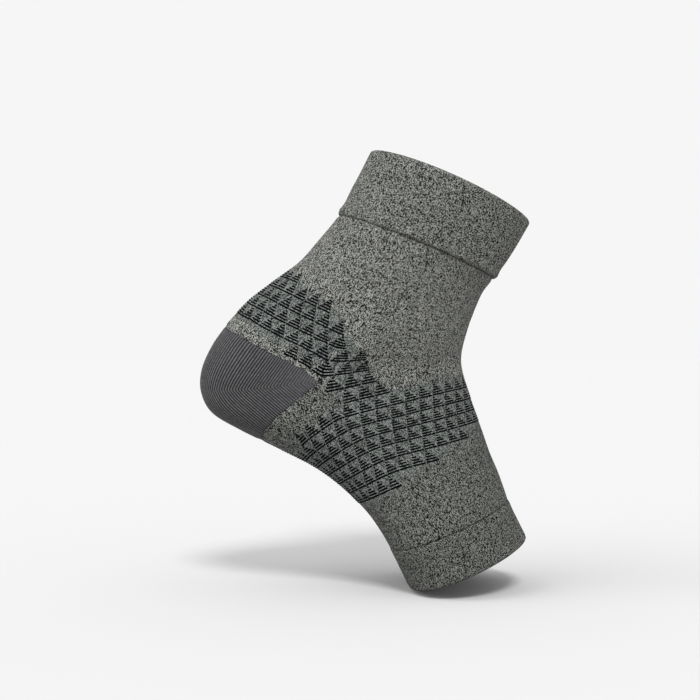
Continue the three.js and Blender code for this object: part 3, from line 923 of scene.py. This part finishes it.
def triangle_material(name):
    """Near-black yarn of the triangles, its stitches side by side along each bar"""
    material, tree, shader = cloth_surface(name, roughness=0.9, shine=0.02)
    wale, course = stitch_axes(tree)
    height = calculate(tree, "POWER", bulge(tree, calculate(tree, "FRACT", wale)), 0.5)
    cell = random_by_cell(tree, calculate(tree, "FLOOR", wale), calculate(tree, "FLOOR", course), 9.0)
    yarn = colours().band_yarn
    stops = ((0.0, tint(yarn, (0.7, 0.7, 0.7))), (1.0, tint(yarn, (1.8, 1.8, 1.9))))
    # Painted shade in the grooves between the stitches of a bar
    colour = shade_grooves(tree, colour_steps(tree, cell, stops), height, depth=0.5)
    tree.links.new(colour, shader.inputs["Base Color"])
    add_bump(tree, shader, height, BAR_BUMP)
    return material


def paint_material(name, colour):
    """Plain paint without any shine"""
    material = bpy.data.materials.new(name)
    material.use_nodes = True
    shader = material.node_tree.nodes["Principled BSDF"]
    shader.inputs["Base Color"].default_value = (*colour, 1)
    shader.inputs["Roughness"].default_value = 1.0
    shader.inputs["Specular IOR Level"].default_value = 0.0
    return material


def shared_material(name, make, *settings):
    """One material for all the pieces that share a finish"""
    return bpy.data.materials.get(name) or make(name, *settings)


def melange(part):
    """Melange finish of one part of the sleeve"""
    shades = colours()
    # The foot and the foot cuff take painted shade, darker than the leg and the ankle cuff as if lit from
    # above
    finishes = {
        "leg": (WHITE_SHADE, *PLAIN_STITCH),
        "foot": (shades.foot_painted_shade, *PLAIN_STITCH),
        "cuff": (shades.cuff_shade, *CUFF_STITCH),
        "foot_cuff": (shades.foot_cuff_painted_shade, *CUFF_STITCH),
        "band": (shades.band_shade, *PLAIN_STITCH, BAND_CONTRAST),
    }
    return shared_material("heather_" + part, heather_material, *finishes[part])


def declare_knit(piece, material, node, wall):
    """Gives a wall of plain knit its thickness, finish and place on the body"""
    thicken(piece, wall)
    finish_piece(piece, material, node)


class SLEEVE_OT_ankle_knit(bpy.types.Operator):
    """Adds the plain knit from the ankle cuff down to the band"""

    bl_idname = "sleeve.ankle_knit"
    bl_label = "Ankle Knit"

    def execute(self, context):
        form = SleeveForm(sizes())
        piece = knit_patch(form, "Ankle.Knit", partial(level_row, 0), band_upper, limit=HALF_TURN,
                           columns=360, rows=96, pinch_upper=0.0005)
        declare_knit(piece, melange("leg"), "ankle_knit", form.size.knit_wall)
        return {"FINISHED"}


class SLEEVE_OT_cuffs(bpy.types.Operator):
    """Adds the turned cuffs at the ankle and the foot"""

    bl_idname = "sleeve.cuffs"
    bl_label = "Cuffs"

    def execute(self, context):
        form = SleeveForm(sizes())
        size = form.size
        top_rim = rim_place(form, TOP_RIM, size.top_rim_sweep, -1)
        ankle = cuff_ring(form, "Cuff.Ankle", top_rim, partial(level_row, form.ankle_seam),
                          size.cuff_proud, lower_roll=0.0004)
        toe_rim = rim_place(form, TOE_RIM, size.toe_rim_sweep, 1)
        foot = cuff_ring(form, "Cuff.Foot", toe_rim, partial(level_row, form.foot_seam),
                         size.foot_cuff_proud, lower_roll=0.00005)
        finish_piece(ankle, melange("cuff"), "ankle_cuff")
        finish_piece(foot, melange("foot_cuff"), "foot_cuff")
        return {"FINISHED"}


class SLEEVE_OT_heel(bpy.types.Operator):
    """Adds the ribbed heel pocket and the plain knit borders that join it to the band"""

    bl_idname = "sleeve.heel"
    bl_label = "Heel Pocket"

    def execute(self, context):
        form = SleeveForm(sizes())
        size = form.size
        pocket = heel_grid(form, "Heel.Pocket", columns=752, rows=44)
        heel_rib = shared_material("heel_rib", heel_material)
        finish_piece(pocket, heel_rib, "heel_pocket")
        upper = knit_patch(form, "Heel.Border.Upper", partial(edge_row, ARM_LOWER), partial(level_row, 1),
                           limit=TIP_ANGLE, columns=176, rows=14, pinch_lower=0.0003)
        declare_knit(upper, melange("leg"), "upper_heel_border", size.knit_wall)
        lower = knit_patch(form, "Heel.Border.Lower", border_upper, partial(edge_row, ARCH_BACK),
                           limit=WEDGE_ANGLE, columns=188, rows=18, pinch_upper=0.0003)
        declare_knit(lower, melange("foot"), "lower_heel_border", size.knit_wall)
        return {"FINISHED"}


class SLEEVE_OT_band(bpy.types.Operator):
    """Adds the support band: its arms behind the ankle and its ring round the arch, with their triangles"""

    bl_idname = "sleeve.band"
    bl_label = "Support Band"

    def execute(self, context):
        form = SleeveForm(sizes())
        size = form.size
        arch_lower = partial(edge_row, ARCH_LOWER)
        arm = knit_patch(form, "Band.Ankle", band_upper, arm_lower, limit=FORK_ANGLE, columns=236, rows=60)
        arch = knit_patch(form, "Band.Arch", arch_upper, arch_lower, limit=HALF_TURN, columns=360, rows=60)

        def on_arm(course, wale):
            return triangle_inside(form, course, wale, band_upper, arm_lower, FORK_ANGLE, 0.0)

        def on_arch(course, wale):
            return not on_arm(course, wale) and triangle_inside(
                form, course, wale, arch_upper, arch_lower, HALF_TURN, OFF_LOWER_EDGE)

        yarn = shared_material("triangle_yarn", triangle_material)
        for piece, node, inside in ((arm, "achilles_band", on_arm), (arch, "arch_band", on_arch)):
            bars = triangle_bars(form, piece.name + ".Triangles", inside)
            thicken(bars, BAR_WALL)
            finish_piece(bars, yarn)
            declare_knit(piece, melange("band"), node, size.knit_wall)
        return {"FINISHED"}


class SLEEVE_OT_foot_knit(bpy.types.Operator):
    """Adds the plain knit from the band down to the foot cuff"""

    bl_idname = "sleeve.foot_knit"
    bl_label = "Foot Knit"

    def execute(self, context):
        form = SleeveForm(sizes())
        piece = knit_patch(form, "Foot.Knit", partial(edge_row, ARCH_LOWER), partial(level_row, 2),
                           limit=HALF_TURN, columns=360, rows=60, pinch_lower=0.0001)
        declare_knit(piece, melange("foot"), "foot_knit", form.size.knit_wall)
        return {"FINISHED"}


class SLEEVE_OT_stage(bpy.types.Operator):
    """Adds the camera, the pale floor, the pale surroundings and the soft light"""

    bl_idname = "sleeve.stage"
    bl_label = "Stage"

    def execute(self, context):
        scene = context.scene
        scene.view_settings.view_transform = "Standard"
        camera = bpy.data.cameras.new("Camera")
        camera.sensor_width = 36
        camera.lens = 72
        holder = bpy.data.objects.new("Camera", camera)
        holder.location = (0.0669, -0.644, 0.0147)
        holder.rotation_euler = (math.pi / 2, 0, 0)
        scene.collection.objects.link(holder)
        scene.camera = holder

        mesh = bmesh.new()
        bmesh.ops.create_grid(mesh, x_segments=2, y_segments=2, size=15)
        bmesh.ops.translate(mesh, verts=mesh.verts, vec=(0, 0, CAD_BOX[0][2] - FLOOR_GAP))
        floor = add_piece("Floor", mesh)
        floor.data.materials.append(paint_material("floor_paint", colours().floor_white))

        world = bpy.data.worlds.new("Pale surroundings")
        world.use_nodes = True
        backdrop = world.node_tree.nodes["Background"]
        backdrop.inputs["Color"].default_value = (0.92, 0.92, 0.92, 1)
        scene.world = world
        for name, strength, soft, direction in (
            ("Key", 1.3, 60, (0.8, 0.35, -0.6)),
            ("Shadow", 2.2, 16, (-0.1, 0.9, -1.0)),
        ):
            sun = bpy.data.lights.new(name, "SUN")
            sun.energy = strength
            sun.angle = math.radians(soft)
            lamp = bpy.data.objects.new(name, sun)
            lamp.rotation_euler = Vector(direction).to_track_quat("-Z", "Y").to_euler()
            scene.collection.objects.link(lamp)
        return {"FINISHED"}


OPERATORS = (
    SLEEVE_OT_cuffs,
    SLEEVE_OT_ankle_knit,
    SLEEVE_OT_band,
    SLEEVE_OT_heel,
    SLEEVE_OT_foot_knit,
    SLEEVE_OT_stage,
)


class SLEEVE_PT_panel(bpy.types.Panel):
    """Lists the sleeve's pieces and its stage"""

    bl_idname = "SLEEVE_PT_panel"
    bl_label = "Arch Support Sleeve"
    bl_space_type = "VIEW_3D"
    bl_region_type = "UI"
    bl_category = "Sleeve"

    def draw(self, context):
        for operator in OPERATORS:
            self.layout.operator(operator.bl_idname)
        for settings in (context.scene.sleeve_sizes, context.scene.sleeve_colours):
            for name in settings.bl_rna.properties.keys():
                if name not in ("rna_type", "name"):
                    self.layout.prop(settings, name)


CLASSES = (SleeveSizes, SleeveColours, *OPERATORS, SLEEVE_PT_panel)


def register():
    """Adds the classes and the settings of the scene"""
    for each in CLASSES:
        bpy.utils.register_class(each)
    bpy.types.Scene.sleeve_sizes = bpy.props.PointerProperty(type=SleeveSizes)
    bpy.types.Scene.sleeve_colours = bpy.props.PointerProperty(type=SleeveColours)


def unregister():
    """Takes them away again"""
    del bpy.types.Scene.sleeve_colours
    del bpy.types.Scene.sleeve_sizes
    for each in reversed(CLASSES):
        bpy.utils.unregister_class(each)


def main():
    """Builds the sleeve and its stage"""
    register()
    for operator in OPERATORS:
        _, action = operator.bl_idname.split(".")
        getattr(bpy.ops.sleeve, action)()
    bpy.context.view_layer.update()


if __name__ == "__main__":
    main()
